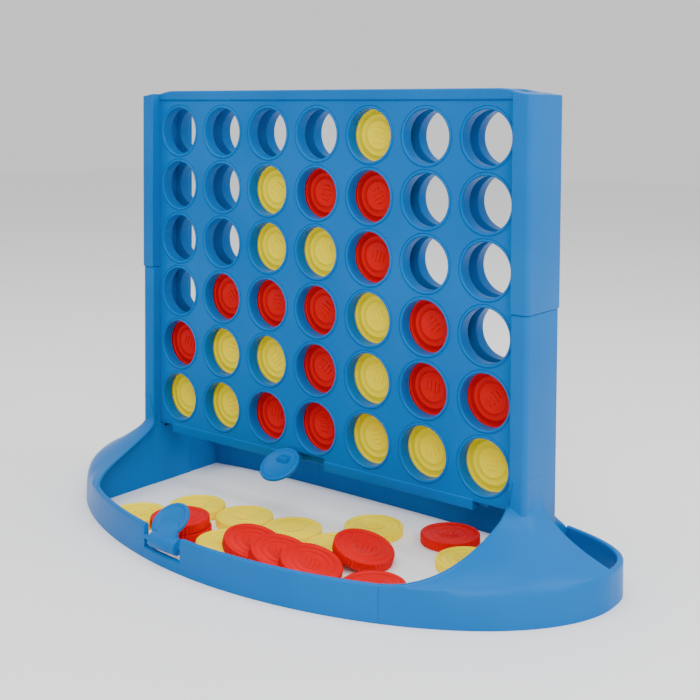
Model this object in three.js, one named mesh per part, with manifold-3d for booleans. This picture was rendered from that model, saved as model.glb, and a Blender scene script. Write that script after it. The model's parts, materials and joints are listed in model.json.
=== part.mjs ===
// Giant four in a row: an upright board of two holed panels with columns between them, on an oval base that
// holds the loose discs. Millimetres, +Z up, the front of the board faces -Y.
import * as THREE from 'three';
import { mergeVertices } from 'three/addons/utils/BufferGeometryUtils.js';
import Module from 'manifold-3d';

const wasm = await Module();
wasm.setup();

// Driving dimensions
const COLUMNS = 7;
const ROWS = 6;
const COLUMN_PITCH = 70;
const DISC_RADIUS = 31.3;
const DISC_THICKNESS = 10.4;
const GAP = 0.3;                    // between pieces that touch
const STACK_GAP = 0.4;              // between discs in one column
const FIRST_ROW_Z = 110;
const HOLE_RADIUS = 27;
const PANEL_THICKNESS = 14.2;
const SLOT_DEPTH = 14.6;            // between the panels
const BOARD_TOP = 472;
const PANEL_BOTTOM = 74;
const POST_INNER_X = 243.5;
const DIVIDER = { thickness: 6, spine: 4, toothHalf: 9, endTooth: 8, topDrop: 6 };

// Posts and legs
const LEG = { outerX: 261.5, halfDepth: 31.5, corner: 5 };
const UPPER_POST = { outerX: 262.5, halfDepth: 32.5, corner: 5 };
const POST_SEAM_Z = 262;
const SPIGOT = { width: 8, depth: 36, height: 14 };

// Oval base
const BASE = { halfLength: 335, front: 196, rear: 96, frontPower: 1.9, rearPower: 3 };
const WALL = 6;
const RIM_HEIGHT = 34;
const FLARE_TOP = 108;              // where the legs grow out of the base
const FLARE_EASE = 3;
const LEG_POWER = 7;                // how square the base's section is at the top of the flare
const FOOT_WALL = { x: 244.5, inset: 3 };  // closes each foot's hollow beside the tray
const SEAM_LEFT_X = -86;
const SEAM_RIGHT_X = 188;
const LEVEL_SHARES = [0, 0.08, 0.2, 0.34, 0.5, 0.7, 1];

// The right half of what is open between the legs above the rim, as points (x, z) from the rim up
const OPEN_EDGE = [[150, RIM_HEIGHT], [200, 34.6], [217, 37.2], [232, 44.6], [240, 58], [POST_INNER_X, 80],
  [POST_INNER_X, 112]];

// Release bar: a ladder that slides under the columns
const TRAVEL = COLUMN_PITCH / 2;
const RAIL = { bottom: 66, left: -221, right: 199, lip: 2, lipReach: 3.8, channel: 5 };
const CHANNEL_TOP = 79;
const BAR = { bottom: 68.4, top: FIRST_ROW_Z - DISC_RADIUS - STACK_GAP, halfDepth: 12, rail: 4.4, rung: 5,
  slack: 1 };
const RUNG_OFFSET = -1;
const TAB = { x: -30, y: -43.5, z: 70, radius: 23, thickness: 4, tilt: 33, neck: 14, neckFront: -34,
  root: 1 };
const TAB_CLEARANCE = { left: 3, right: 1 };

// Flick lever in the front rim
const LEVER = { x: -52, y: -187.5, z: 22, hubRadius: 8, hubLength: 38, paddleRadius: 21, thickness: 4,
  tilt: 36 };
const PADDLE_X = -64;               // the paddle sits off the hub's middle
const LEVER_REACH = 22;             // hub axis to paddle centre
const PADDLE_RISE = 2;              // paddle's middle plane above the hub axis
const PIN = { radius: 2.6, bore: 3, length: 64 };
const NOTCH = { left: -82, right: -24, sill: 12, depth: 40 };
const OVERCUT = 1;                  // how far a cutting block runs past the face that it opens

// Columns of the board from left to right, each from the bottom up
const STACKS = ['YR', 'YYR', 'RYRYY', 'RRRYR', 'YYYRRY', 'YRR', 'YR'];

// Loose discs on the ground inside the base: colour, centre, and how each lies
const LOOSE = [
  { colour: 'Y', x: -133, y: -66 },
  { colour: 'Y', x: -68, y: -58 },
  { colour: 'Y', x: -4, y: -52 },
  { colour: 'Y', x: 58, y: 8 },
  { colour: 'Y', x: 60, y: -58 },
  { colour: 'Y', x: -34, y: -121 },
  { colour: 'Y', x: 184, y: -6 },
  { colour: 'Y', x: -164, y: -124 },
  { colour: 'R', x: 134, y: 40 },
  { colour: 'R', x: -98, y: -122 },
  { colour: 'R', x: -99, y: -124, layer: 1 },
  { colour: 'R', x: 98, y: -62, lean: 16.5 },
  { colour: 'R', x: 4, y: -121, lean: 16.5 },
  { colour: 'R', x: 43, y: -124, lean: 16.5 },
  { colour: 'R', x: 82, y: -124, lean: 16.5 },
  { colour: 'R', x: 148, y: -112 },
];

// Facets
const BORE_STEPS = 8;
const DISC_SIDES = 20;
const ROUND_SIDES = 16;
const OVAL_STEPS = 15;              // per quarter of the base's outline
const CORNER_STEPS = 2;

const rowPitch = 2 * DISC_RADIUS + STACK_GAP;
const panelInner = SLOT_DEPTH / 2;
const panelOuter = panelInner + PANEL_THICKNESS;
const columnX = (column) => (column - (COLUMNS - 1) / 2) * COLUMN_PITCH;
const rowZ = (row) => FIRST_ROW_Z + row * rowPitch;
const radians = THREE.MathUtils.degToRad;

const plastic = (color, roughness) => new THREE.MeshStandardMaterial({ color, roughness, metalness: 0 });
const boardBlue = () => plastic(0x0a8bd6, 0.3);
const discRed = () => plastic(0xd80f1c, 0.35);
const discYellow = () => plastic(0xf7dc12, 0.35);

// Solids and meshes
function toSolid(geometry) {
  const bare = new THREE.BufferGeometry();
  bare.setAttribute('position', geometry.getAttribute('position').clone());
  bare.setIndex(geometry.getIndex());
  const merged = mergeVertices(bare, 1e-4);
  return new wasm.Manifold(new wasm.Mesh({
    numProp: 3,
    vertProperties: new Float32Array(merged.getAttribute('position').array),
    triVerts: new Uint32Array(merged.getIndex().array),
  }));
}

function toGeometry(solid) {
  const { vertProperties, triVerts } = solid.getMesh();
  const geometry = new THREE.BufferGeometry();
  geometry.setAttribute('position', new THREE.BufferAttribute(vertProperties, 3));
  geometry.setIndex(new THREE.BufferAttribute(triVerts, 1));
  geometry.computeVertexNormals();
  return geometry;
}

function named(name, geometry, material) {
  const mesh = new THREE.Mesh(geometry, material);
  mesh.name = name;
  return mesh;
}

function block(x0, x1, y0, y1, z0, z1) {
  const geometry = new THREE.BoxGeometry(x1 - x0, y1 - y0, z1 - z0);
  geometry.translate((x0 + x1) / 2, (y0 + y1) / 2, (z0 + z1) / 2);
  return toSolid(geometry);
}

function cylinderAlongX(radius, length, x, y, z) {
  const geometry = new THREE.CylinderGeometry(radius, radius, length, ROUND_SIDES);
  geometry.rotateZ(Math.PI / 2);
  geometry.translate(x, y, z);
  return toSolid(geometry);
}

// A flat round plate that tips about X, by tilt degrees from level, with its centre at (x, y, z)
function tiltedPlate(radius, thickness, tilt, x, y, z) {
  const geometry = new THREE.CylinderGeometry(radius, radius, thickness, 2 * ROUND_SIDES);
  geometry.rotateX(Math.PI / 2 + radians(tilt));
  geometry.translate(x, y, z);
  return toSolid(geometry);
}

// An upright prism with rounded corners
function roundedPrism(x0, x1, halfDepth, corner, z0, z1) {
  const shape = new THREE.Shape();
  shape.moveTo(x0 + corner, -halfDepth);
  shape.lineTo(x1 - corner, -halfDepth);
  shape.absarc(x1 - corner, corner - halfDepth, corner, -Math.PI / 2, 0);
  shape.absarc(x1 - corner, halfDepth - corner, corner, 0, Math.PI / 2);
  shape.absarc(x0 + corner, halfDepth - corner, corner, Math.PI / 2, Math.PI);
  shape.absarc(x0 + corner, corner - halfDepth, corner, Math.PI, 1.5 * Math.PI);
  const options = { depth: z1 - z0, bevelEnabled: false, curveSegments: CORNER_STEPS };
  const geometry = new THREE.ExtrudeGeometry(shape, options);
  geometry.translate(0, 0, z0);
  return toSolid(geometry);
}

// Board panels. The rail along the bottom covers the release bar.
function panelOutline() {
  const end = POST_INNER_X - GAP;
  const shape = new THREE.Shape();
  shape.moveTo(-end, PANEL_BOTTOM);
  shape.lineTo(RAIL.left, PANEL_BOTTOM);
  shape.lineTo(RAIL.left, RAIL.bottom);
  shape.lineTo(RAIL.right, RAIL.bottom);
  shape.lineTo(RAIL.right, PANEL_BOTTOM);
  shape.lineTo(end, PANEL_BOTTOM);
  shape.lineTo(end, BOARD_TOP);
  shape.lineTo(-end, BOARD_TOP);
  shape.closePath();
  for (let column = 0; column < COLUMNS; column += 1) {
    for (let row = 0; row < ROWS; row += 1) {
      const hole = new THREE.Path();
      hole.absarc(columnX(column), rowZ(row), HOLE_RADIUS, 0, 2 * Math.PI, true);
      shape.holes.push(hole);
    }
  }
  return shape;
}

// A panel with its inner face towards +Y, as it stands at the front
function panelSolid() {
  const options = { depth: PANEL_THICKNESS, bevelEnabled: false, curveSegments: BORE_STEPS };
  const geometry = new THREE.ExtrudeGeometry(panelOutline(), options);
  geometry.rotateX(Math.PI / 2);
  geometry.translate(0, -panelInner, 0);
  const inside = -panelInner + OVERCUT;
  const lipTop = RAIL.bottom + RAIL.lip;
  const channel = block(-COLUMNS * COLUMN_PITCH, COLUMNS * COLUMN_PITCH, -panelInner - RAIL.channel, inside,
    lipTop, CHANNEL_TOP);
  const throat = block(RAIL.left - OVERCUT, RAIL.right + OVERCUT, -panelInner - RAIL.channel + RAIL.lipReach,
    inside, RAIL.bottom - OVERCUT, lipTop + OVERCUT);
  return toSolid(geometry).subtract(channel).subtract(throat);
}

function tabNotch() {
  const left = TAB.x - TAB.neck / 2 - TAB_CLEARANCE.left;
  const right = TAB.x + TAB.neck / 2 + TRAVEL + TAB_CLEARANCE.right;
  return block(left, right, -panelOuter - OVERCUT, 0, RAIL.bottom - OVERCUT, CHANNEL_TOP);
}

function addPanels(board) {
  board.add(named('front_grid_panel', toGeometry(panelSolid().subtract(tabNotch())), boardBlue()));
  const rear = named('rear_grid_panel', toGeometry(panelSolid()), boardBlue());
  rear.rotation.z = Math.PI;
  board.add(rear);
}

// Column dividers: a spine against the front panel with a tooth between every two rows
function dividerGeometry() {
  const front = -panelInner + GAP;
  const rear = panelInner - GAP;
  const spine = front + DIVIDER.spine;
  const bottom = CHANNEL_TOP + GAP;
  const top = BOARD_TOP - DIVIDER.topDrop;
  const shape = new THREE.Shape();
  shape.moveTo(front, bottom);
  shape.lineTo(rear, bottom);
  for (let row = 0; row < ROWS; row += 1) {
    const under = row === 0 ? bottom + DIVIDER.endTooth : rowZ(row) - rowPitch / 2 + DIVIDER.toothHalf;
    const over = row === ROWS - 1 ? top - DIVIDER.endTooth : rowZ(row) + rowPitch / 2 - DIVIDER.toothHalf;
    shape.lineTo(rear, under);
    shape.lineTo(spine, under);
    shape.lineTo(spine, over);
    shape.lineTo(rear, over);
  }
  shape.lineTo(rear, top);
  shape.lineTo(front, top);
  shape.closePath();
  const geometry = new THREE.ExtrudeGeometry(shape, { depth: DIVIDER.thickness, bevelEnabled: false });
  geometry.translate(0, 0, -DIVIDER.thickness / 2);
  geometry.rotateZ(Math.PI / 2);
  geometry.rotateY(Math.PI / 2);
  return geometry;
}

function addDividers(board) {
  for (let number = 1; number < COLUMNS; number += 1) {
    const divider = named(`column_divider_${number}`, dividerGeometry(), boardBlue());
    divider.position.x = columnX(number) - COLUMN_PITCH / 2;
    board.add(divider);
  }
}

// Upper posts stand on a spigot at the top of each leg
function spigotBlock(slack) {
  const middle = (POST_INNER_X + LEG.outerX) / 2;
  const halfWidth = SPIGOT.width / 2 + slack;
  const halfDepth = SPIGOT.depth / 2 + slack;
  return block(middle - halfWidth, middle + halfWidth, -halfDepth, halfDepth, POST_SEAM_Z - OVERCUT,
    POST_SEAM_Z + SPIGOT.height + slack);
}

function upperPostSolid() {
  const post = roundedPrism(POST_INNER_X, UPPER_POST.outerX, UPPER_POST.halfDepth, UPPER_POST.corner,
    POST_SEAM_Z + GAP, BOARD_TOP);
  return post.subtract(spigotBlock(GAP));
}

// One level of the base: an oval that is flatter at the rear. share runs from 0 at the rim to 1 at the leg.
function ovalRing(share, inset, z) {
  const ease = (1 - share) ** FLARE_EASE;
  const halfLength = THREE.MathUtils.lerp(LEG.outerX, BASE.halfLength, ease) - inset;
  const front = THREE.MathUtils.lerp(LEG.halfDepth, BASE.front, ease) - inset;
  const rear = THREE.MathUtils.lerp(LEG.halfDepth, BASE.rear, ease) - inset;
  const frontPower = THREE.MathUtils.lerp(BASE.frontPower, LEG_POWER, share);
  const rearPower = THREE.MathUtils.lerp(BASE.rearPower, LEG_POWER, share);
  const points = [];
  for (let step = 0; step < 4 * OVAL_STEPS; step += 1) {
    const angle = (step / (4 * OVAL_STEPS)) * 2 * Math.PI;
    const across = Math.cos(angle);
    const along = Math.sin(angle);
    const power = along < 0 ? frontPower : rearPower;
    const depth = along < 0 ? front : rear;
    const x = halfLength * Math.sign(across) * Math.abs(across) ** (2 / power);
    const y = depth * Math.sign(along) * Math.abs(along) ** (2 / power);
    points.push(new THREE.Vector3(x, y, z));
  }
  return points;
}

// A closed solid through rings of equal count, lowest first
function loft(rings) {
  const count = rings[0].length;
  const positions = rings.flat().flatMap((point) => point.toArray());
  const triangles = [];
  for (let level = 0; level + 1 < rings.length; level += 1) {
    for (let step = 0; step < count; step += 1) {
      const a = level * count + step;
      const b = level * count + ((step + 1) % count);
      triangles.push(a, b, b + count, a, b + count, a + count);
    }
  }
  const last = (rings.length - 1) * count;
  for (let step = 1; step + 1 < count; step += 1) {
    triangles.push(0, step + 1, step);
    triangles.push(last, last + step, last + step + 1);
  }
  const geometry = new THREE.BufferGeometry();
  geometry.setAttribute('position', new THREE.Float32BufferAttribute(positions, 3));
  geometry.setIndex(triangles);
  return toSolid(geometry);
}

function hornSolid(inset) {
  const over = inset > 0 ? OVERCUT : 0;
  const rings = [ovalRing(0, inset, -over)];
  for (const share of LEVEL_SHARES) {
    rings.push(ovalRing(share, inset, THREE.MathUtils.lerp(RIM_HEIGHT, FLARE_TOP + over, share)));
  }
  return loft(rings);
}

function betweenLegs() {
  const shape = new THREE.Shape();
  shape.moveTo(-OPEN_EDGE[0][0], OPEN_EDGE[0][1]);
  OPEN_EDGE.forEach(([x, z]) => shape.lineTo(x, z));
  [...OPEN_EDGE].reverse().forEach(([x, z]) => shape.lineTo(-x, z));
  const depth = 2 * (BASE.front + OVERCUT);
  const geometry = new THREE.ExtrudeGeometry(shape, { depth, bevelEnabled: false });
  geometry.rotateX(Math.PI / 2);
  geometry.translate(0, depth / 2, 0);
  return toSolid(geometry);
}

// Each foot's flare stops halfway back, so outside and behind the leg only the rim goes round
function behindFlares() {
  const right = block(FOOT_WALL.x + WALL, BASE.halfLength + OVERCUT, 0, BASE.rear + OVERCUT, RIM_HEIGHT,
    FLARE_TOP + 2 * OVERCUT);
  return right.add(right.mirror([1, 0, 0]));
}

function baseShell() {
  return hornSolid(0).subtract(hornSolid(WALL)).subtract(betweenLegs()).subtract(behindFlares());
}

function footWall() {
  const sheet = block(FOOT_WALL.x, FOOT_WALL.x + WALL, -BASE.front, BASE.rear, 0, FLARE_TOP);
  return sheet.intersect(hornSolid(FOOT_WALL.inset));
}

// A leg with the wall beside it, and a pocket that takes the end of the release bar
function supportSolid() {
  const leg = roundedPrism(POST_INNER_X, LEG.outerX, LEG.halfDepth, LEG.corner, 0, POST_SEAM_Z);
  const barEnd = columnX(COLUMNS - 1) + RUNG_OFFSET + BAR.rung / 2 + TRAVEL;
  const pocket = block(POST_INNER_X - OVERCUT, barEnd + BAR.slack, -BAR.halfDepth - BAR.slack,
    BAR.halfDepth + BAR.slack, BAR.bottom - BAR.slack, CHANNEL_TOP + BAR.slack);
  return leg.add(footWall()).subtract(pocket).add(spigotBlock(0));
}

function leverNotch() {
  const slot = block(NOTCH.left, NOTCH.right, -BASE.front - OVERCUT, -BASE.front + NOTCH.depth, NOTCH.sill,
    RIM_HEIGHT + OVERCUT);
  return slot.add(cylinderAlongX(PIN.bore, PIN.length + 2 * OVERCUT, LEVER.x, LEVER.y, LEVER.z));
}

function addBase(assembly) {
  const shell = baseShell();
  const reach = BASE.halfLength + OVERCUT;
  const between = (x0, x1, y0, y1) => shell.intersect(block(x0, x1, y0, y1, -OVERCUT, FLARE_TOP + OVERCUT));
  const left = between(-reach, SEAM_LEFT_X - GAP / 2, -reach, reach);
  const right = between(SEAM_RIGHT_X + GAP / 2, reach, -reach, reach);
  const middle = (y0, y1) => between(SEAM_LEFT_X + GAP / 2, SEAM_RIGHT_X - GAP / 2, y0, y1);
  const support = supportSolid();
  assembly.add(named('left_foot', toGeometry(left.add(support.mirror([1, 0, 0]))), boardBlue()));
  assembly.add(named('right_foot', toGeometry(right.add(support)), boardBlue()));
  assembly.add(named('front_rim', toGeometry(middle(-reach, 0).subtract(leverNotch())), boardBlue()));
  assembly.add(named('rear_rim', toGeometry(middle(0, reach)), boardBlue()));
  assembly.add(named('left_upper_post', toGeometry(upperPostSolid().mirror([1, 0, 0])), boardBlue()));
  assembly.add(named('right_upper_post', toGeometry(upperPostSolid()), boardBlue()));
}

// Release bar: two rails joined by a rung under each column, with a round thumb tab at the front
function addReleaseBar(assembly) {
  const first = columnX(0) + RUNG_OFFSET;
  const last = columnX(COLUMNS - 1) + RUNG_OFFSET;
  const half = BAR.rung / 2;
  const window = BAR.halfDepth - BAR.rail;
  let bar = block(first - half, last + half, -BAR.halfDepth, BAR.halfDepth, BAR.bottom, BAR.top);
  for (let column = 0; column + 1 < COLUMNS; column += 1) {
    const x = columnX(column) + RUNG_OFFSET;
    bar = bar.subtract(block(x + half, x + COLUMN_PITCH - half, -window, window,
      BAR.bottom - OVERCUT, BAR.top + OVERCUT));
  }
  const neckHalf = TAB.neck / 2;
  const neck = block(TAB.x - neckHalf, TAB.x + neckHalf, TAB.neckFront, -window - TAB.root, BAR.bottom,
    BAR.top - TAB.root);
  const plate = tiltedPlate(TAB.radius, TAB.thickness, TAB.tilt, TAB.x, TAB.y, TAB.z);
  assembly.add(named('release_bar', toGeometry(bar.add(neck).add(plate)), boardBlue()));
}

// Flick lever: a hub on a pin across the notch, with a round paddle that leans back over the tray
function addLever(assembly) {
  const tilt = radians(LEVER.tilt);
  const paddleY = LEVER.y + LEVER_REACH * Math.cos(tilt);
  const paddleZ = LEVER.z + LEVER_REACH * Math.sin(tilt) + PADDLE_RISE;
  const hub = cylinderAlongX(LEVER.hubRadius, LEVER.hubLength, LEVER.x, LEVER.y, LEVER.z);
  const paddle = tiltedPlate(LEVER.paddleRadius, LEVER.thickness, LEVER.tilt, PADDLE_X, paddleY, paddleZ);
  const bore = cylinderAlongX(PIN.bore, LEVER.hubLength + 2 * OVERCUT, LEVER.x, LEVER.y, LEVER.z);
  assembly.add(named('flick_lever', toGeometry(hub.add(paddle).subtract(bore)), boardBlue()));
  const pin = new THREE.CylinderGeometry(PIN.radius, PIN.radius, PIN.length, ROUND_SIDES);
  const mesh = named('lever_pin', pin, boardBlue());
  mesh.rotation.z = Math.PI / 2;
  mesh.position.set(LEVER.x, LEVER.y, LEVER.z);
  assembly.add(mesh);
}

// Discs
function disc(name, colour) {
  const geometry = new THREE.CylinderGeometry(DISC_RADIUS, DISC_RADIUS, DISC_THICKNESS, DISC_SIDES);
  return named(name, geometry, colour === 'R' ? discRed() : discYellow());
}

function addGridDiscs(assembly) {
  STACKS.forEach((stack, column) => {
    [...stack].forEach((colour, row) => {
      const piece = disc(`disc_column_${column + 1}_row_${row + 1}`, colour);
      piece.position.set(columnX(column), 0, rowZ(row));
      assembly.add(piece);
    });
  });
}

// A leaning disc has its right edge on the ground and its left side on the disc next to it
function addLooseDiscs(assembly) {
  LOOSE.forEach(({ colour, x, y, layer = 0, lean = 0 }, index) => {
    const piece = disc(`loose_disc_${String(index + 1).padStart(2, '0')}`, colour);
    const tilt = radians(lean);
    const half = DISC_THICKNESS / 2;
    const z = half * Math.cos(tilt) + DISC_RADIUS * Math.sin(tilt) + layer * (DISC_THICKNESS + GAP);
    piece.rotation.x = Math.PI / 2;
    const holder = new THREE.Group();
    holder.add(piece);
    holder.position.set(x, y, z);
    holder.rotation.y = tilt;
    assembly.add(holder);
  });
}

const assembly = new THREE.Group();
addPanels(assembly);
addDividers(assembly);
addBase(assembly);
addReleaseBar(assembly);
addLever(assembly);
addGridDiscs(assembly);
addLooseDiscs(assembly);
assembly.position.y = (BASE.front - BASE.rear) / 2;

export default assembly;
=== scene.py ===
"""Giant four in a row: the looks of the board, base, release bar, flick lever and discs, in metres."""

import json
import math

import bmesh
import bpy
from mathutils import Matrix, Vector


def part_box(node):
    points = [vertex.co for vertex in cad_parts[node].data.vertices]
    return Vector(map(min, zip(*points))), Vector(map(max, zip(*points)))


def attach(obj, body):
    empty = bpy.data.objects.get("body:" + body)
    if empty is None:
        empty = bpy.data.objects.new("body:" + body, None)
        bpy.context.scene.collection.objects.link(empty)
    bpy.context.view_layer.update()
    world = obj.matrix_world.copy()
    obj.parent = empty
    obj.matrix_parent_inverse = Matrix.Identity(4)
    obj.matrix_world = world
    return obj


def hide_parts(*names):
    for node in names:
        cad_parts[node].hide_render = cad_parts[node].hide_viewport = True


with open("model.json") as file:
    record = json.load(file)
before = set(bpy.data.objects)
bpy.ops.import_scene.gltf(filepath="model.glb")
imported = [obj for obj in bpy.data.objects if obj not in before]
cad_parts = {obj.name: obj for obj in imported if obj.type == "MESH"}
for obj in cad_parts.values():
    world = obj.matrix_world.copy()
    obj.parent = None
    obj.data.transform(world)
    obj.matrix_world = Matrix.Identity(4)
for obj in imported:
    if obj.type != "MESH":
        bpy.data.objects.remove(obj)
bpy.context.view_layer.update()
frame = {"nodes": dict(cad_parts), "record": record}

MM = 0.001


# Places and sizes taken from the frame
def middle(node):
    low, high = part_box(node)
    return (low + high) / 2


FRONT_LOW, FRONT_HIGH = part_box("front_grid_panel")
REAR_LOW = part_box("rear_grid_panel")[0]
BOARD_Y = (FRONT_HIGH.y + REAR_LOW.y) / 2
BOARD_TOP = FRONT_HIGH.z
PANEL_OUTER = BOARD_Y - FRONT_LOW.y
PANEL_DEPTH = FRONT_HIGH.y - FRONT_LOW.y
PANEL_HALF = FRONT_HIGH.x

COLUMNS = 7
ROWS = 6
COLUMN_PITCH = (middle("disc_column_7_row_1").x - middle("disc_column_1_row_1").x) / (COLUMNS - 1)
FIRST_ROW_Z = middle("disc_column_4_row_1").z
ROW_PITCH = middle("disc_column_4_row_2").z - FIRST_ROW_Z

DISC_LOW, DISC_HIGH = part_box("disc_column_4_row_1")
DISC_RADIUS = (DISC_HIGH.z - DISC_LOW.z) / 2
DISC_HALF = (DISC_HIGH.y - DISC_LOW.y) / 2

POST_LOW, POST_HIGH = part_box("right_upper_post")
LEG_INNER = POST_LOW.x
FOOT_LOW, FOOT_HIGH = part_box("right_foot")
BASE_HALF = FOOT_HIGH.x
BASE_FRONT = BOARD_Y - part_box("front_rim")[0].y
BASE_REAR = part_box("rear_rim")[1].y - BOARD_Y
RIM_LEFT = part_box("front_rim")[0].x
RIM_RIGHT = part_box("front_rim")[1].x
RIM_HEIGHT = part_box("rear_rim")[1].z
LEFT_SEAM = -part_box("left_foot")[1].x
RIGHT_SEAM = FOOT_LOW.x

# The hole's rounded lip, from the bore outwards, as (radius, depth below the lip's top)
HOLE_RADIUS = 27 * MM
FIELD_DEPTH = 0.9 * MM
LIP = [
    (27.0, 2.4), (27.1, 1.3), (27.5, 0.5), (28.1, 0.08), (28.7, 0.0),
    (29.3, 0.12), (29.8, 0.55), (30.05, 1.25), (30.4, 1.35), (30.75, 0.9),
]
CELL_STEPS = 16

# Board's top band and the rails under it
BORDER_Z = BOARD_TOP - 11 * MM
CROWN_DROP = 6 * MM
CROWN_START = 222 * MM
CELLS_BOTTOM = FIRST_ROW_Z - 30.8 * MM
RAIL_LEFT, RAIL_RIGHT = -221 * MM, 199 * MM
NOTCH_LEFT, NOTCH_RIGHT = -40 * MM, 13 * MM
# Sections of the rails, as (height, depth) in mm
RAIL_SECTION = [
    (79.2, 0.9), (76.4, 0.9), (75.9, 0.35), (75.4, 0), (66.5, 0), (66.1, 0.15), (66, 0.6),
    (66, 13), (68, 13), (68, 9.2), (79, 9.2), (79, 14.2), (79.2, 14.2),
]
PLAIN_SECTION = [
    (79.2, 0.9), (74.6, 0.9), (74.15, 1.1), (74, 1.6), (74, 9.2), (79, 9.2), (79, 14.2), (79.2, 14.2),
]

# Base
WALL = 6 * MM
FLARE_TOP = 108 * MM
FLARE_EASE = 3.0
SHOULDER = 14
FRONT_POWER = 1.9
REAR_POWER = 3.0
LEG_POWER = 7.0
LEG_OUTER = 261.5 * MM
LEG_HALF_DEPTH = 31.5 * MM
LEG_CORNER = 5 * MM
LEG_TOP = POST_LOW.z - 0.3 * MM
EDGE_ROUND = 2.2 * MM
ROUND_POWER = 0.7
ROUND_STEPS = 8
WALL_ROWS = 8
OPEN_START = 150 * MM
OPEN_TOP = 112 * MM
OPEN_POWER = 5
FOOT_WALL = (244.5 * MM, 250.5 * MM)
WALL_SETBACK = 0.3 * MM             # keeps the foot wall's face out of the plane where the rear wall ends
OVERCUT = 1 * MM
NOTCH_ROUND = 0.9 * MM

# Release bar and lever
BAR_Z = (68.4 * MM, 78.3 * MM)
BAR_HALF_DEPTH = 12 * MM
BAR_RAIL = 4.4 * MM
RUNG = 5 * MM
RUNG_OFFSET = -1 * MM
BAR_TRAVEL = COLUMN_PITCH / 2
BAR_SLACK = 1 * MM
NECK_HALF = 7 * MM
TAB = Vector((-30 * MM, BOARD_Y - 43.5 * MM, 70 * MM))
TAB_RADIUS = 23 * MM
TAB_TILT = math.radians(33)
PLATE_HALF = 2 * MM
HUB = middle("lever_pin")
HUB_RADIUS = 8 * MM
HUB_HALF = 19 * MM
PADDLE_RADIUS = 21 * MM
PADDLE_SHIFT = -12 * MM
PADDLE_TILT = math.radians(36)
PADDLE_REACH = 22 * MM
PADDLE_RISE = 2 * MM
LEVER_NOTCH = (-82 * MM, -24 * MM, 12 * MM)

# Camera: where the board is seen from, in front of its right end
CAMERA = Vector((0.767, -0.888, 0.449))
CAMERA_HEADING = math.radians(38.19)
CAMERA_DIP = math.radians(2.51)
CAMERA_ROLL = math.radians(0.36)
CAMERA_LENS = 58.0
CAMERA_SHIFT = -0.27


def lerp(a, b, t):
    return a + (b - a) * t


def smoothstep(t):
    t = min(1.0, max(0.0, t))
    return t * t * (3 - 2 * t)


# Materials
def plastic(name, tint, shade, roughness):
    """Moulded plastic: a slow change of tint, a fine grain, and roughness that varies a little."""
    material = bpy.data.materials.new(name)
    material.use_nodes = True
    nodes = material.node_tree.nodes
    links = material.node_tree.links
    shader = nodes["Principled BSDF"]
    shader.inputs["IOR"].default_value = 1.46
    shader.inputs["Specular IOR Level"].default_value = 0.1
    place = nodes.new("ShaderNodeTexCoord")

    def noise(scale, detail):
        node = nodes.new("ShaderNodeTexNoise")
        node.inputs["Scale"].default_value = scale
        node.inputs["Detail"].default_value = detail
        links.new(place.outputs["Object"], node.inputs["Vector"])
        return node.outputs["Fac"]

    colour = nodes.new("ShaderNodeMix")
    colour.data_type = "RGBA"
    colour.inputs["A"].default_value = (*shade, 1)
    colour.inputs["B"].default_value = (*tint, 1)
    spread = nodes.new("ShaderNodeMapRange")
    spread.inputs["From Min"].default_value = 0.3
    spread.inputs["From Max"].default_value = 0.7
    links.new(noise(9, 2), spread.inputs["Value"])
    links.new(spread.outputs["Result"], colour.inputs["Factor"])
    links.new(colour.outputs["Result"], shader.inputs["Base Color"])

    polish = nodes.new("ShaderNodeMapRange")
    polish.inputs["To Min"].default_value = roughness - 0.05
    polish.inputs["To Max"].default_value = roughness + 0.07
    links.new(noise(60, 3), polish.inputs["Value"])
    links.new(polish.outputs["Result"], shader.inputs["Roughness"])

    grain = nodes.new("ShaderNodeBump")
    grain.inputs["Strength"].default_value = 0.06
    grain.inputs["Distance"].default_value = 0.0002
    links.new(noise(900, 2), grain.inputs["Height"])
    links.new(grain.outputs["Normal"], shader.inputs["Normal"])
    return material


BLUE = plastic("board_blue_plastic", (0.0, 0.14, 0.44), (0.0, 0.12, 0.39), 0.3)
RED = plastic("disc_red_plastic", (0.72, 0.0, 0.004), (0.6, 0.0, 0.003), 0.36)
YELLOW = plastic("disc_yellow_plastic", (1.0, 0.8, 0.0), (0.98, 0.74, 0.0), 0.36)


# Mesh helpers
class Shape:
    """Vertices and faces that add up to one mesh."""

    def __init__(self):
        self.points = []
        self.faces = []

    def add(self, points, faces):
        start = len(self.points)
        self.points += [Vector(p) for p in points]
        self.faces += [[start + i for i in face] for face in faces]

    def loops(self, loops, closed=True, caps=True):
        """A skin through loops of equal count. caps closes the first and the last."""
        count = len(loops[0])
        faces = []
        for level in range(len(loops) - 1):
            for step in range(count if closed else count - 1):
                a = level * count + step
                b = level * count + (step + 1) % count
                faces.append((a, b, b + count, a + count))
        if caps:
            last = (len(loops) - 1) * count
            faces.append(tuple(reversed(range(count))))
            faces.append(tuple(last + i for i in range(count)))
        self.add([p for loop in loops for p in loop], faces)

    def move(self, matrix):
        self.points = [matrix @ p for p in self.points]
        return self

    def join(self, other):
        self.add(other.points, other.faces)
        return self

    def mesh(self, name, sharp=32):
        built = bmesh.new()
        vertices = [built.verts.new(p) for p in self.points]
        for face in self.faces:
            try:
                built.faces.new([vertices[i] for i in face])
            except ValueError:
                continue
        bmesh.ops.remove_doubles(built, verts=built.verts, dist=1e-6)
        bmesh.ops.dissolve_degenerate(built, edges=built.edges, dist=1e-7)
        bmesh.ops.recalc_face_normals(built, faces=built.faces)
        mesh = bpy.data.meshes.new(name)
        built.to_mesh(mesh)
        built.free()
        mesh.shade_smooth()
        mesh.set_sharp_from_angle(angle=math.radians(sharp))
        return mesh


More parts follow.
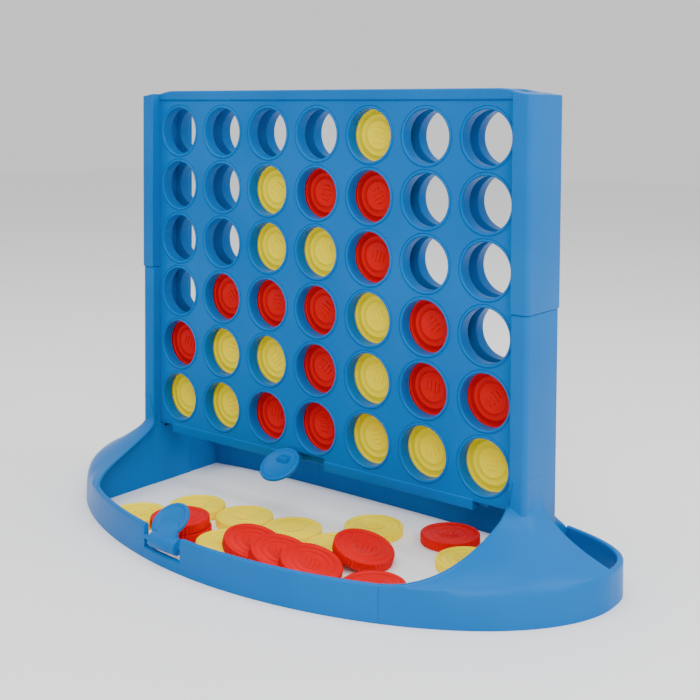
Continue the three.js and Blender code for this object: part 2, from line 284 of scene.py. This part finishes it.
def piece(name, mesh, material, body, slot, *nodes):
    """One named piece that rides on a body and stands for the CAD nodes."""
    made = bpy.data.objects.new(name, mesh)
    bpy.context.scene.collection.objects.link(made)
    if not mesh.materials:
        mesh.materials.append(material)
    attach(made, body)
    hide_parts(*nodes)
    return made


def arc(cx, cy, radius, start, end, steps):
    """Points of an arc, with its angles in degrees."""
    angles = [math.radians(lerp(start, end, k / steps)) for k in range(steps + 1)]
    return [(cx + radius * math.cos(a), cy + radius * math.sin(a)) for a in angles]


def rounded_outline(x0, x1, y0, y1, left, right, inset=0.0):
    """A rectangle with one corner radius at its left end and one at its right, moved in by inset."""
    x0, x1, y0, y1 = x0 + inset, x1 - inset, y0 + inset, y1 - inset
    left, right = max(left - inset, 1e-5), max(right - inset, 1e-5)
    return (arc(x1 - right, y0 + right, right, -90, 0, 8) + arc(x1 - right, y1 - right, right, 0, 90, 8)
            + arc(x0 + left, y1 - left, left, 90, 180, 8) + arc(x0 + left, y0 + left, left, 180, 270, 8))


def soft_prism(x0, x1, y0, y1, z0, z1, left, right, soft):
    """An upright prism whose ends are rounded over."""
    shape = Shape()
    turns = [math.radians(a) for a in (0, 22.5, 45, 67.5, 90)]
    ends = [(soft * (1 - math.sin(a)), soft * (1 - math.cos(a))) for a in turns]
    levels = [(z0 + rise, inset) for inset, rise in ends]
    levels += [(z1 - rise, inset) for inset, rise in reversed(ends)]
    shape.loops([[(x, y, z) for x, y in rounded_outline(x0, x1, y0, y1, left, right, inset)]
                 for z, inset in levels])
    return shape


def lathe(profile, steps, radius_at=None):
    """A body turned about Z from (radius, height) points. radius_at changes a radius by its angle's step."""
    shape = Shape()
    loops = []
    for radius, height in profile:
        loop = []
        for step in range(steps):
            angle = 2 * math.pi * step / steps
            r = radius_at(radius, step) if radius_at else radius
            loop.append((r * math.cos(angle), r * math.sin(angle), height))
        loops.append(loop)
    shape.loops(loops)
    return shape


# Board
def crown(point):
    """The board's top edge falls away a little towards both ends."""
    lift = smoothstep((point.z - BORDER_Z) / (BOARD_TOP - BORDER_Z))
    drop = CROWN_DROP * smoothstep((abs(point.x) - CROWN_START) / (POST_HIGH.x - CROWN_START))
    return Vector((point.x, point.y, point.z - drop * lift))


def cell_edges(low, high):
    return [lerp(low, high, k / CELL_STEPS) for k in range(CELL_STEPS + 1)]


def column_x(column):
    return (column - (COLUMNS - 1) / 2) * COLUMN_PITCH


def column_span(column):
    low = -PANEL_HALF if column == 0 else column_x(column) - COLUMN_PITCH / 2
    high = PANEL_HALF if column == COLUMNS - 1 else column_x(column) + COLUMN_PITCH / 2
    return low, high


def row_span(row):
    z = FIRST_ROW_Z + row * ROW_PITCH
    low = CELLS_BOTTOM if row == 0 else z - ROW_PITCH / 2
    return low, z + ROW_PITCH / 2


def panel_point(x, z, depth):
    return (x, BOARD_Y - PANEL_OUTER + depth, z)


def cell(column, row):
    """One hole with its lip, bore and the flat field around it."""
    x0, x1 = column_span(column)
    z0, z1 = row_span(row)
    xs, zs = cell_edges(x0, x1), cell_edges(z0, z1)
    around = [(x, z0) for x in xs[:-1]] + [(x1, z) for z in zs[:-1]]
    around += [(x, z1) for x in reversed(xs[1:])] + [(x0, z) for z in reversed(zs[1:])]
    cx, cz = column_x(column), FIRST_ROW_Z + row * ROW_PITCH
    angles = [math.radians(-135 + 90 * k / CELL_STEPS) for k in range(4 * CELL_STEPS)]

    def ring(radius, depth):
        return [panel_point(cx + radius * math.cos(a), cz + radius * math.sin(a), depth) for a in angles]

    loops = [[panel_point(x, z, FIELD_DEPTH) for x, z in around]]
    loops += [ring(radius * MM, depth * MM) for radius, depth in reversed(LIP)]
    loops += [ring(HOLE_RADIUS, PANEL_DEPTH - 0.6 * MM), ring(HOLE_RADIUS + 0.6 * MM, PANEL_DEPTH)]
    loops += [[panel_point(x, z, PANEL_DEPTH) for x, z in around]]
    shape = Shape()
    shape.loops(loops, caps=False)
    return shape


def strip(xs, section):
    """A skin that carries a section, given as (z, depth), along the board."""
    shape = Shape()
    shape.loops([[panel_point(x, z, depth) for z, depth in section] for x in xs], closed=False, caps=False)
    return shape


def top_section():
    """The band over the top row: a groove, a raised border, and the rounded top edge."""
    start = FIRST_ROW_Z + (ROWS - 0.5) * ROW_PITCH
    section = [(start, FIELD_DEPTH), (BORDER_Z - 1.2 * MM, FIELD_DEPTH), (BORDER_Z - 0.7 * MM, 1.8 * MM),
               (BORDER_Z, 1.8 * MM), (BORDER_Z + 0.5 * MM, 0.4 * MM), (BORDER_Z + 1.1 * MM, 0.0)]
    section += [(z, d) for d, z in reversed(arc(2 * MM, BOARD_TOP - 2 * MM, 2 * MM, 90, 180, 6))]
    section += [(z, d) for d, z in arc(PANEL_DEPTH - 1 * MM, BOARD_TOP - 1 * MM, 1 * MM, 90, 0, 3)]
    return section + [(start, PANEL_DEPTH)]


def bar_of(x0, x1, section):
    """A straight length of one section, closed at both ends."""
    shape = Shape()
    shape.loops([[panel_point(x, z * MM, depth * MM) for z, depth in section] for x in (x0, x1)])
    return shape


def panel_shape(notched):
    shape = Shape()
    for column in range(COLUMNS):
        for row in range(ROWS):
            shape.join(cell(column, row))
    xs = sorted({x for column in range(COLUMNS) for x in cell_edges(*column_span(column))})
    zs = sorted({z for row in range(ROWS) for z in cell_edges(*row_span(row))})
    section = top_section()
    shape.join(strip(xs, section))
    shape.join(strip(xs, [(CELLS_BOTTOM, FIELD_DEPTH), (CELLS_BOTTOM, PANEL_DEPTH)]))
    for x in (-PANEL_HALF, PANEL_HALF):
        side = Shape()
        side.loops([[panel_point(x, z, FIELD_DEPTH), panel_point(x, z, PANEL_DEPTH)] for z in zs],
                   closed=False, caps=False)
        shape.join(side)
        shape.add([panel_point(x, z, depth) for z, depth in section], [range(len(section))])
    shape.points = [crown(point) for point in shape.points]
    shape.join(bar_of(-PANEL_HALF, RAIL_LEFT, PLAIN_SECTION))
    shape.join(bar_of(RAIL_RIGHT, PANEL_HALF, PLAIN_SECTION))
    breaks = (NOTCH_LEFT, NOTCH_RIGHT) if notched else (0, 0)
    shape.join(bar_of(RAIL_LEFT, breaks[0], RAIL_SECTION))
    shape.join(bar_of(breaks[1], RAIL_RIGHT, RAIL_SECTION))
    return shape


def add_panels():
    piece("front_panel_skin", panel_shape(True).mesh("front_panel_skin"), BLUE, "board_and_base",
          "board_blue", "front_grid_panel")
    turned = Matrix.Translation((0, BOARD_Y, 0)) @ Matrix.Rotation(math.pi, 4, "Z")
    turned = turned @ Matrix.Translation((0, -BOARD_Y, 0))
    piece("rear_panel_skin", panel_shape(False).move(turned).mesh("rear_panel_skin"), BLUE, "board_and_base",
          "board_blue", "rear_grid_panel")


def add_dividers():
    """The dividers keep their CAD shape, with softened edges."""
    for number in range(1, COLUMNS):
        node = frame["nodes"][f"column_divider_{number}"]
        node.data.materials.clear()
        node.data.materials.append(BLUE)
        soft = node.modifiers.new("soft edges", "BEVEL")
        soft.width = 0.5 * MM
        soft.segments = 2


def mirror_for(side):
    return Matrix.Diagonal((side, 1, 1, 1))


def add_posts():
    for side, name in ((-1, "left"), (1, "right")):
        low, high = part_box("right_upper_post")
        shape = soft_prism(low.x, high.x, low.y, high.y, low.z, high.z, 1.2 * MM, LEG_CORNER, 1.2 * MM)
        levels = [p.z for p in shape.points]
        shape.points = [crown(p) if z > BORDER_Z else p for p, z in zip(shape.points, levels)]
        piece(f"{name}_post_skin", shape.move(mirror_for(side)).mesh(f"{name}_post_skin"), BLUE,
              "board_and_base", "board_blue", f"{name}_upper_post")


# Base
def flare_share(z, softness):
    """How far up the flare a height is, from 0 at the rim to 1 at the leg, with the shoulder eased."""
    share = (z - RIM_HEIGHT) / (FLARE_TOP - RIM_HEIGHT)
    eased = math.log1p(math.exp(SHOULDER * share)) / SHOULDER
    return min(1.0, lerp(max(0.0, share), eased, softness))


def flare_size(z, rear, softness):
    """The base's half length, depth and power at a height."""
    share = flare_share(z, softness)
    ease = (1 - share) ** FLARE_EASE
    half = lerp(LEG_OUTER, BASE_HALF, ease)
    depth = lerp(LEG_HALF_DEPTH, BASE_REAR if rear else BASE_FRONT, ease)
    return half, depth, lerp(REAR_POWER if rear else FRONT_POWER, LEG_POWER, share)


def leg_outline(x, y):
    """Where the ray from inside the leg through (x, y) leaves the leg's section, taken a hair larger."""
    hair = 0.2 * MM
    core = LEG_INNER - 18 * MM
    half_x, half_y, corner = LEG_OUTER + hair - core, LEG_HALF_DEPTH + hair, LEG_CORNER + hair
    dx, dy = max(x - core, 1e-6), abs(y)
    if dy > 0 and dx * half_y / dy <= half_x - corner:
        return core + dx * half_y / dy, math.copysign(half_y, y)
    if dy * half_x / dx <= half_y - corner:
        return core + half_x, y * half_x / dx
    cx, cy = half_x - corner, half_y - corner
    length = math.hypot(dx, dy)
    ux, uy = dx / length, dy / length
    along = ux * cx + uy * cy
    across = cx * cx + cy * cy - along * along
    reach = along + math.sqrt(max(0.0, corner ** 2 - across))
    return core + ux * reach, math.copysign(uy * reach, y)


def pulled(x, y, z, softness):
    """Draws the top of the flare onto the leg, so that the two run into each other."""
    pull = smoothstep((flare_share(z, softness) - 0.3) / 0.7)
    if pull == 0:
        return x, y
    to_x, to_y = leg_outline(x, y)
    return lerp(x, to_x, pull), lerp(y, to_y, pull)


def front_point(angle, z, softness):
    """A point of the front of the base, on the right. The angle runs from -90 degrees to 0 at the end."""
    half, depth, power = flare_size(z, False, softness)
    x = half * math.cos(angle) ** (2 / power)
    y = -depth * math.sin(max(0.0, -angle)) ** (2 / power)
    return pulled(x, y, z, softness)


def front_inside(angle, z, softness, seam):
    """The point on the wall's inner face behind a front point. At the seam it lies straight behind it."""
    x, y = front_point(angle, z, softness)
    ahead = front_point(min(0.0, angle + 0.01), z, softness)
    behind = front_point(min(0.0, angle + 0.01) - 0.02, z, softness)
    along = Vector((ahead[0] - behind[0], ahead[1] - behind[1])).normalized()
    inward = Vector((-along.y, along.x))
    square = Vector((0, 1 / max(inward.y, 0.3)))
    push = square.lerp(inward, smoothstep((x - seam) / (25 * MM)))
    return x + WALL * push.x, y + WALL * push.y


def rear_depth(x, z, inset, softness):
    half, depth, power = flare_size(z, True, softness)
    inside = max(0.0, 1 - (x / (half - inset)) ** power)
    return (depth - inset) * inside ** (1 / power)


def opening_height(x):
    """The height of the opening's edge between the legs."""
    across = min(1.0, max(0.0, (x - OPEN_START) / (LEG_INNER - OPEN_START)))
    return OPEN_TOP - (OPEN_TOP - RIM_HEIGHT) * (1 - across ** OPEN_POWER) ** (1 / OPEN_POWER)


def opening_normal(x, z):
    """The direction in X and Z from the wall's edge into the opening."""
    if x <= OPEN_START:
        return 0.0, 1.0
    across = ((x - OPEN_START) / (LEG_INNER - OPEN_START)) ** (OPEN_POWER - 1) / (LEG_INNER - OPEN_START)
    down = max(0.0, (OPEN_TOP - z) / (OPEN_TOP - RIM_HEIGHT)) ** (OPEN_POWER - 1) / (OPEN_TOP - RIM_HEIGHT)
    length = math.hypot(across, down)
    return (-across / length, down / length) if length > 0 else (-1.0, 0.0)


def front_top(angle):
    """The height at which the front wall meets the opening, or the flare's top where it runs into the leg."""
    low = RIM_HEIGHT - EDGE_ROUND
    steps = 480
    for step in range(steps + 1):
        z = lerp(low, FLARE_TOP, step / steps)
        if z > opening_height(front_point(angle, z, 1.0)[0]) - EDGE_ROUND:
            return z, True
    return FLARE_TOP, False


def softness_at(top, angle=-1.0):
    """The shoulder is eased under the flare, and firm along the rim and at the base's end."""
    return smoothstep((top - RIM_HEIGHT) / (30 * MM)) * smoothstep(abs(angle) / 0.35)


def rounded_over(start, end, rise):
    """The points that carry a wall's top from its outer to its inner edge, rounded towards rise."""
    turns = [math.pi * step / ROUND_STEPS for step in range(1, ROUND_STEPS)]
    return [start.lerp(end, (1 - math.cos(turn)) / 2) + rise * (EDGE_ROUND * math.sin(turn) ** ROUND_POWER)
            for turn in turns]


def wall_ring(outer, inner, cut):
    """A closed section of wall from its two upright lines, rounded over at the top where cut is true."""
    start, end = Vector(outer[-1]), Vector(inner[-1])
    nx, nz = opening_normal(start.x, start.z)
    rise = Vector((nx, 0, nz)) if cut else Vector((0, 0, 0))
    return outer + rounded_over(start, end, rise) + list(reversed(inner))


def wall_heights(top):
    """The same heights for every upright line, so that neighbours match, each ending at its own top."""
    steps = 64
    return [min(top, FLARE_TOP * step / steps) for step in range(steps)] + [top]


def seam_angle(x, inset, power):
    return math.acos((x / (BASE_HALF - inset)) ** (power / 2))


def foot_front(seam):
    """The wall from the front seam round to the base's end, rising in a flare to the leg."""
    columns = 220
    rings = []
    for column in range(columns + 1):
        angle = -seam_angle(seam, 0, FRONT_POWER) * (1 - column / columns)
        top, cut = front_top(angle)
        softness = softness_at(top, angle)
        heights = wall_heights(top)
        outer = [(*front_point(angle, z, softness), z) for z in heights]
        inner = [(*front_inside(angle, z, softness, seam), z) for z in heights]
        lines = [[(x, y + BOARD_Y, z) for x, y, z in line] for line in (outer, inner)]
        rings.append(wall_ring(*lines, cut))
    shape = Shape()
    shape.loops(rings)
    return shape


def foot_rear(seam):
    """The wall from the rear seam to the foot wall, rising to the leg's rear face."""
    columns = 60
    rings = []
    for column in range(columns + 1):
        x = lerp(seam, FOOT_WALL[1], column / columns)
        top = min(FLARE_TOP, opening_height(x) - EDGE_ROUND)
        softness = softness_at(top)
        heights = wall_heights(top)
        outer, inner = ([(x, BOARD_Y + rear_depth(x, z, inset, softness), z) for z in heights]
                        for inset in (0.0, WALL))
        rings.append(wall_ring(outer, inner, x < LEG_INNER))
    shape = Shape()
    shape.loops(rings)
    return shape


def upright(x, y, top):
    """An upright line of the wall, from the ground to a height."""
    return [(x, y, top * row / WALL_ROWS) for row in range(WALL_ROWS + 1)]


def low_ring(outer, inner):
    """A closed section of the low rim from its two upright lines."""
    over = rounded_over(Vector(outer[-1]), Vector(inner[-1]), Vector((0, 0, 1)))
    return outer + over + list(reversed(inner))


def foot_end():
    """The low rim outside and behind the leg."""
    columns = 70
    shoulder = RIM_HEIGHT - EDGE_ROUND
    rings = []
    for column in range(columns + 1):
        lines = []
        for inset in (0.0, WALL):
            last = seam_angle(FOOT_WALL[1] - 0.5 * MM, inset, REAR_POWER)
            angle = max(1e-6, last * column / columns)
            x = (BASE_HALF - inset) * math.cos(angle) ** (2 / REAR_POWER)
            y = (BASE_REAR - inset) * math.sin(angle) ** (2 / REAR_POWER)
            lines.append(upright(x, BOARD_Y + y, shoulder))
        rings.append(low_ring(*lines))
    shape = Shape()
    shape.loops(rings)
    return shape


def foot_wall():
    """The upright wall that closes the foot's hollow beside the tray."""
    x = sum(FOOT_WALL) / 2
    front, rear = [], []
    for step in range(61):
        z = lerp(0, FLARE_TOP - 8 * MM, step / 60)
        softness = softness_at(FLARE_TOP)
        half, depth, power = flare_size(z, False, softness)
        inside = max(0.0, 1 - (x / (half - WALL / 2)) ** power)
        front.append((BOARD_Y - (depth - WALL / 2) * inside ** (1 / power), z))
        rear.append((BOARD_Y + rear_depth(x, z, WALL / 2, softness), z))
    outline = front + list(reversed(rear))
    shape = Shape()
    faces = (FOOT_WALL[0], FOOT_WALL[1] - WALL_SETBACK)
    shape.loops([[(face, y, z) for y, z in outline] for face in faces])
    return shape


def carved(shape, cutter):
    """The shape with the cutter's volume taken out of it."""
    made = []
    for name, part in (("carved", shape), ("cutter", cutter)):
        made.append(bpy.data.objects.new(name, part.mesh(name)))
        bpy.context.scene.collection.objects.link(made[-1])
    modifier = made[0].modifiers.new("pocket", "BOOLEAN")
    modifier.operation = "DIFFERENCE"
    modifier.solver = "EXACT"
    modifier.object = made[1]
    cut = made[0].evaluated_get(bpy.context.evaluated_depsgraph_get()).to_mesh()
    result = Shape()
    result.add([v.co.copy() for v in cut.vertices], [tuple(f.vertices) for f in cut.polygons])
    for item in made:
        mesh = item.data
        bpy.data.objects.remove(item)
        bpy.data.meshes.remove(mesh)
    return result


def bar_pocket():
    """The room in the leg and the wall beside it for the end of the release bar when it slides out."""
    end = column_x(COLUMNS - 1) + RUNG_OFFSET + RUNG / 2 + BAR_TRAVEL + BAR_SLACK
    half = BAR_HALF_DEPTH + BAR_SLACK
    start = LEG_INNER - OVERCUT
    corners = [(start, -half), (end, -half), (end, half), (start, half)]
    levels = (BAR_Z[0] - BAR_SLACK, BAR_Z[1] + BAR_SLACK)
    shape = Shape()
    shape.loops([[(x, BOARD_Y + y, z) for x, y in corners] for z in levels])
    return shape


def leg_shape():
    return soft_prism(LEG_INNER, LEG_OUTER, BOARD_Y - LEG_HALF_DEPTH, BOARD_Y + LEG_HALF_DEPTH, 0, LEG_TOP,
                      EDGE_ROUND, LEG_CORNER, 0.6 * MM)


def rim_y(x, inset, rear):
    """How far forward or back the rim's wall lies at x."""
    power = REAR_POWER if rear else FRONT_POWER
    depth = BASE_REAR if rear else BASE_FRONT
    side = 1 if rear else -1
    return BOARD_Y + side * (depth - inset) * (1 - abs(x / (BASE_HALF - inset)) ** power) ** (1 / power)


def rim_top(x, notch):
    """The rim's height at x, which drops to the sill inside the notch."""
    if not notch:
        return RIM_HEIGHT
    left, right, sill = notch
    gap = max(left - x, x - right)
    return sill if gap <= 1e-7 else RIM_HEIGHT - max(0.0, NOTCH_ROUND - gap) * 2


def rim_shape(rear, notch=None):
    """A length of the rim between the two feet, with an optional notch (left, right, sill)."""
    columns = 110
    xs = [lerp(RIM_LEFT, RIM_RIGHT, k / columns) for k in range(columns + 1)]
    if notch:
        xs += [notch[0] - reach * MM for reach in (0.9, 0.4, 0)]
        xs += [notch[1] + reach * MM for reach in (0, 0.4, 0.9)]
    loops = []
    for x in sorted(set(xs)):
        shoulder = rim_top(x, notch) - EDGE_ROUND
        loops.append(low_ring(*(upright(x, rim_y(x, inset, rear), shoulder) for inset in (0.0, WALL))))
    shape = Shape()
    shape.loops(loops)
    return shape


def add_base():
    for side, name, seam in ((-1, "left", LEFT_SEAM), (1, "right", RIGHT_SEAM)):
        shape = foot_front(seam).join(foot_rear(seam)).join(foot_end())
        shape.join(carved(foot_wall(), bar_pocket())).join(carved(leg_shape(), bar_pocket()))
        shape.move(mirror_for(side))
        piece(f"{name}_foot_skin", shape.mesh(f"{name}_foot_skin", 40), BLUE, "board_and_base", "board_blue",
              f"{name}_foot")
    piece("front_rim_skin", rim_shape(False, LEVER_NOTCH).mesh("front_rim_skin", 40), BLUE, "board_and_base",
          "board_blue", "front_rim")
    piece("rear_rim_skin", rim_shape(True).mesh("rear_rim_skin", 40), BLUE, "board_and_base", "board_blue",
          "rear_rim")


# Release bar and lever
def dished_plate(radius, tilt, centre):
    """A round plate with a raised rounded rim on its upper face, tipped about X."""
    rim = 3 * MM
    profile = [(0.0, -PLATE_HALF), (radius - 2 * MM, -PLATE_HALF)]
    profile += [(radius - 2 * MM + x, z) for x, z in arc(0, 0, PLATE_HALF, -90, 90, 8)]
    profile += [(radius - rim, PLATE_HALF * 0.9), (radius - rim - 0.8 * MM, PLATE_HALF * 0.4),
                (radius - rim - 2.4 * MM, PLATE_HALF * 0.1), (0.0, -PLATE_HALF * 0.15)]
    turned = Matrix.Translation(centre) @ Matrix.Rotation(tilt, 4, "X")
    return lathe(profile, 72).move(turned)


def block(x0, x1, y0, y1, z0, z1, soft=0.6 * MM):
    return soft_prism(x0, x1, y0, y1, z0, z1, soft, soft, soft)


def release_bar_shape():
    first, last = column_x(0) + RUNG_OFFSET, column_x(COLUMNS - 1) + RUNG_OFFSET
    shape = Shape()
    for side in (-1, 1):
        near, far = sorted((side * (BAR_HALF_DEPTH - BAR_RAIL), side * BAR_HALF_DEPTH))
        shape.join(block(first - RUNG / 2, last + RUNG / 2, BOARD_Y + near, BOARD_Y + far, *BAR_Z))
    for column in range(COLUMNS):
        x = column_x(column) + RUNG_OFFSET
        shape.join(block(x - RUNG / 2, x + RUNG / 2, BOARD_Y - BAR_HALF_DEPTH + 1 * MM,
                         BOARD_Y + BAR_HALF_DEPTH - 1 * MM, BAR_Z[0], BAR_Z[1] - 0.2 * MM))
    shape.join(block(TAB.x - NECK_HALF, TAB.x + NECK_HALF, TAB.y + 2 * MM,
                     BOARD_Y - BAR_HALF_DEPTH + 2 * MM, BAR_Z[0], BAR_Z[1] - 1 * MM, 1.5 * MM))
    shape.join(dished_plate(TAB_RADIUS, TAB_TILT, TAB))
    return shape


def hub_profile(radius, half):
    """Half of a rod's section, with softened ends."""
    soft = 1.2 * MM
    chamfer = soft * 0.3
    end = [(0.0, half), (radius - soft, half), (radius - chamfer, half - chamfer), (radius, half - soft)]
    return [(r, -z) for r, z in end] + list(reversed(end))


def along_x(centre):
    return Matrix.Translation(centre) @ Matrix.Rotation(math.pi / 2, 4, "Y")


def signed_power(value, power):
    return math.copysign(abs(value) ** power, value)


def lever_web(centre):
    """The web from the hub to the paddle, which narrows and thins on the way."""
    steps, around = 8, 32
    out = Vector((0, -math.sin(PADDLE_TILT), math.cos(PADDLE_TILT)))
    loops = []
    for step in range(steps + 1):
        share = step / steps
        core = HUB.lerp(centre, share)
        half_width = lerp(HUB_HALF - 2 * MM, PADDLE_RADIUS * 0.55, smoothstep(share))
        half_height = lerp(HUB_RADIUS - 1 * MM, 1.4 * MM, smoothstep(share * 1.2))
        loop = []
        for corner in range(around):
            angle = 2 * math.pi * corner / around
            across = Vector((half_width * signed_power(math.cos(angle), 0.5), 0, 0))
            loop.append(core + across + out * (half_height * signed_power(math.sin(angle), 0.7)))
        loops.append(loop)
    web = Shape()
    web.loops(loops)
    return web


def lever_shape():
    """The hub on its pin, with the paddle off the hub's middle."""
    shape = lathe(hub_profile(HUB_RADIUS, HUB_HALF), 48).move(along_x(HUB))
    centre = HUB + Vector((PADDLE_SHIFT, PADDLE_REACH * math.cos(PADDLE_TILT),
                           PADDLE_REACH * math.sin(PADDLE_TILT) + PADDLE_RISE))
    shape.join(dished_plate(PADDLE_RADIUS, PADDLE_TILT, centre))
    return shape.join(lever_web(centre))


def add_moving_blue():
    piece("release_bar_skin", release_bar_shape().mesh("release_bar_skin"), BLUE, "release_bar", "board_blue",
          "release_bar")
    piece("flick_lever_skin", lever_shape().mesh("flick_lever_skin"), BLUE, "flick_lever", "board_blue",
          "flick_lever")
    low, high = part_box("lever_pin")
    pin = lathe(hub_profile((high.z - low.z) / 2, (high.x - low.x) / 2), 32).move(along_x(HUB))
    piece("lever_pin_skin", pin.mesh("lever_pin_skin"), BLUE, "board_and_base", "board_blue", "lever_pin")


# Discs
TEETH = 48
TOOTH_STEPS = 4
TOOTH_DEPTH = 0.9 * MM
EMBOSS_HALF_LENGTHS = (4.2, 6.0, 6.0, 4.2)
EMBOSS_SPACING = 4.6 * MM
EMBOSS_HALF_WIDTH = 0.9 * MM
EMBOSS_SLANT = math.radians(28)
GOLDEN_ANGLE = 2.39996


def disc_profile():
    """Half of a disc's section from the rim inwards: a milled edge, a raised rim and two raised rings."""
    r, h = DISC_RADIUS, DISC_HALF
    edge = [(r, h - 1.6 * MM), (r - 0.25 * MM, h - 0.7 * MM), (r - 0.9 * MM, h - 0.15 * MM),
            (r - 1.7 * MM, h)]
    face = [(r - 3.6 * MM, h), (r - 4.2 * MM, h - 0.3 * MM), (r - 4.7 * MM, h - 1.1 * MM)]
    for ring in (0.68, 0.46):
        centre = r * ring
        face += [(centre + 1.5 * MM, h - 1.2 * MM), (centre + 0.8 * MM, h - 0.7 * MM),
                 (centre, h - 0.5 * MM), (centre - 0.8 * MM, h - 0.7 * MM), (centre - 1.5 * MM, h - 1.2 * MM)]
    return edge + face + [(0.0, h - 1.2 * MM)]


def milled(radius, step):
    """Cuts the teeth of the edge, which fade out on the raised rim."""
    near_edge = smoothstep((radius - (DISC_RADIUS - 1.8 * MM)) / (1.2 * MM))
    in_gap = step % TOOTH_STEPS >= TOOTH_STEPS // 2
    return radius - TOOTH_DEPTH * near_edge if in_gap else radius


def emboss(side):
    """Four slanting bars in a row at the disc's centre."""
    shape = Shape()
    for bar, half_length in enumerate(EMBOSS_HALF_LENGTHS):
        x = (bar - (len(EMBOSS_HALF_LENGTHS) - 1) / 2) * EMBOSS_SPACING
        reach = half_length * MM
        shape.join(soft_prism(x - EMBOSS_HALF_WIDTH, x + EMBOSS_HALF_WIDTH, -reach, reach,
                              DISC_HALF - 2.2 * MM, DISC_HALF - 0.35 * MM, 0.85 * MM, 0.85 * MM, 0.4 * MM))
    slant = Matrix.Rotation(EMBOSS_SLANT, 4, "Z")
    flip = Matrix.Identity(4) if side > 0 else Matrix.Rotation(math.pi, 4, "X")
    return shape.move(flip @ slant)


def disc_mesh(name, material):
    upper = disc_profile()
    profile = [(r, -z) for r, z in reversed(upper)] + upper
    shape = lathe(profile, TEETH * TOOTH_STEPS, milled)
    for side in (1, -1):
        shape.join(emboss(side))
    mesh = shape.mesh(name, 38)
    mesh.materials.append(material)
    return mesh


def flat_normal(node):
    """The direction a disc's flat faces point, from its widest face in the frame."""
    face = max(frame["nodes"][node].data.polygons, key=lambda polygon: polygon.area)
    return Vector(face.normal)


def add_discs():
    meshes = {"disc_red": disc_mesh("red_disc", RED), "disc_yellow": disc_mesh("yellow_disc", YELLOW)}
    slots = {part["node"]: part["material_slot"] for part in frame["record"]["subparts"]}
    bodies = {node: body for body, nodes in frame["record"]["behaviour"]["bodies"].items() for node in nodes}
    names = sorted(node for node in slots if slots[node] in meshes)
    for index, node in enumerate(names):
        made = bpy.data.objects.new(f"{node}_skin", meshes[slots[node]])
        bpy.context.scene.collection.objects.link(made)
        aim = Vector((0, 0, 1)).rotation_difference(flat_normal(node)).to_matrix().to_4x4()
        lies_square = max(abs(axis) for axis in flat_normal(node)) > 0.999
        spin = Matrix.Rotation(GOLDEN_ANGLE * index if lies_square else 0.0, 4, "Z")
        made.matrix_world = Matrix.Translation(middle(node)) @ aim @ spin
        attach(made, bodies[node])
        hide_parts(node)


# Stage
def add_floor():
    shape = Shape()
    shape.add([(-6, -6, 0), (6, -6, 0), (6, 6, 0), (-6, 6, 0)], [(0, 1, 2, 3)])
    material = bpy.data.materials.new("pale_floor")
    material.use_nodes = True
    shader = material.node_tree.nodes["Principled BSDF"]
    shader.inputs["Base Color"].default_value = (0.93, 0.935, 0.94, 1)
    shader.inputs["Roughness"].default_value = 0.6
    floor = bpy.data.objects.new("floor", shape.mesh("floor"))
    floor.data.materials.append(material)
    bpy.context.scene.collection.objects.link(floor)


def add_light(name, place, aim, size, power):
    light = bpy.data.lights.new(name, "AREA")
    light.shape = "RECTANGLE"
    light.size, light.size_y = size
    light.energy = power
    lamp = bpy.data.objects.new(name, light)
    lamp.location = place
    lamp.rotation_euler = (Vector(aim) - Vector(place)).to_track_quat("-Z", "Y").to_euler()
    bpy.context.scene.collection.objects.link(lamp)


def add_studio():
    world = bpy.data.worlds.new("studio")
    world.use_nodes = True
    world.node_tree.nodes["Background"].inputs["Color"].default_value = (1, 1, 1, 1)
    world.node_tree.nodes["Background"].inputs["Strength"].default_value = 0.9
    bpy.context.scene.world = world
    add_light("key", (1.3, -1.5, 1.9), (0, 0, 0.2), (1.4, 1.0), 34)
    add_light("side", (1.6, 0.3, 1.5), (0.2, 0, 0.25), (1.2, 1.2), 22)
    add_light("top", (-0.3, -0.2, 2.2), (0, 0, 0), (1.8, 1.8), 26)


def add_camera():
    data = bpy.data.cameras.new("camera")
    data.lens = CAMERA_LENS
    data.sensor_width = 36
    data.shift_y = CAMERA_SHIFT
    camera = bpy.data.objects.new("camera", data)
    camera.location = CAMERA
    ahead = Vector((-math.sin(CAMERA_HEADING) * math.cos(CAMERA_DIP),
                    math.cos(CAMERA_HEADING) * math.cos(CAMERA_DIP), -math.sin(CAMERA_DIP)))
    camera.rotation_euler = ahead.to_track_quat("-Z", "Y").to_euler()
    camera.rotation_euler.rotate_axis("Z", CAMERA_ROLL)
    bpy.context.scene.collection.objects.link(camera)
    bpy.context.scene.camera = camera


add_camera()
add_floor()
add_studio()
add_panels()
add_dividers()
add_posts()
add_base()
add_moving_blue()
add_discs()
